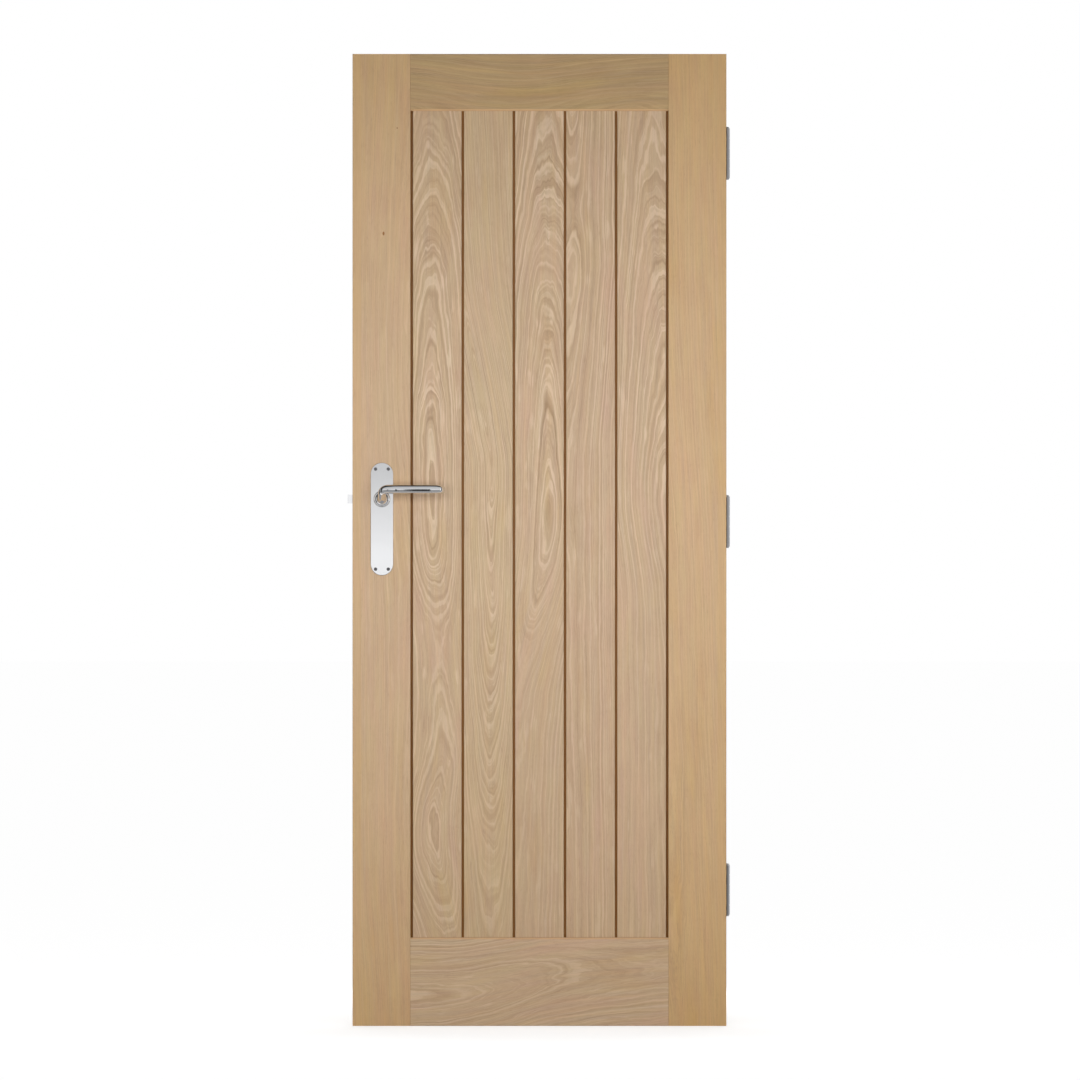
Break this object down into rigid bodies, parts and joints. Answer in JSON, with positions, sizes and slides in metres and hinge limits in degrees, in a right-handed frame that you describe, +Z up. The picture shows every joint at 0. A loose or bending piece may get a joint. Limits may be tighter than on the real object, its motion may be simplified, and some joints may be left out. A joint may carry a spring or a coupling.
{
  "type": "oak door",
  "caption": "Oak door leaf of vertical boards in a frame of stiles and rails, with lever handles, a tubular latch and butt hinges.",
  "frame": {"origin": "bottom centre of the door leaf, halfway through its thickness", "axes": "+X to the right, from the lock edge to the hinge edge; +Y away from the viewer, the side to which the door opens; +Z up"},
  "size_m": [0.7795, 0.1496, 1.981],
  "materials": {
    "oak": "bare sanded oak",
    "dowel_wood": "beech dowel",
    "polished_chrome": "polished chrome plate",
    "latch_steel": "zinc plated sheet",
    "hinge_steel": "satin steel",
    "spring_steel": "bright spring wire",
    "nylon": "white nylon"
  },
  "bodies": {
    "hinge_frame_side": {"hinge_top_frame_plate": "hinge_steel", "hinge_top_pin": "hinge_steel", "hinge_bottom_frame_plate": "hinge_steel", "hinge_bottom_pin": "hinge_steel", "hinge_middle_frame_plate": "hinge_steel", "hinge_middle_pin": "hinge_steel", "hinge_washers": "hinge_steel"},
    "leaf": {"lock_stile": "oak", "hinge_stile": "oak", "top_rail": "oak", "bottom_rail": "oak", "board_1": "oak", "board_2": "oak", "board_3": "oak", "board_4": "oak", "board_5": "oak", "rail_dowels": "dowel_wood", "latch_case": "latch_steel", "latch_forend": "polished_chrome", "forend_screws": "polished_chrome", "bolt_spring": "spring_steel", "front_backplate": "polished_chrome", "front_bush": "nylon", "front_handle_screws": "polished_chrome", "back_backplate": "polished_chrome", "back_bush": "nylon", "back_handle_screws": "polished_chrome", "hinge_top_leaf_plate": "hinge_steel", "hinge_bottom_leaf_plate": "hinge_steel", "hinge_middle_leaf_plate": "hinge_steel", "hinge_screws": "hinge_steel"},
    "levers": {"front_lever": "polished_chrome", "back_lever": "polished_chrome", "front_grub_screw": "latch_steel", "back_grub_screw": "latch_steel", "front_circlip": "spring_steel", "back_circlip": "spring_steel", "spindle": "latch_steel", "latch_follower": "latch_steel"},
    "latch_bolt": {"latch_bolt": "polished_chrome", "latch_tail": "latch_steel"}
  },
  "joints": [
    {"name": "door_swing", "type": "hinge", "parent": "hinge_frame_side", "child": "leaf", "pos_m": [0.382, 0.0245, 1.028], "axis": [0, 0, -1], "range_deg": [0, 170]},
    {"name": "lever_turn", "type": "hinge", "parent": "leaf", "child": "levers", "pos_m": [-0.321, 0, 1.074], "axis": [0, 1, 0], "range_deg": [0, 60], "stiffness_Nm_per_rad": 1, "springref_deg": -57.3},
    {"name": "latch_slide", "type": "slide", "parent": "leaf", "child": "latch_bolt", "axis": [1, 0, 0], "range_m": [0, 0.01011], "deforming": ["bolt_spring"]}
  ],
  "couplings": [
    {"joint": "latch_slide", "follows": "lever_turn", "m_per_rad": 0.0096448}
  ]
}
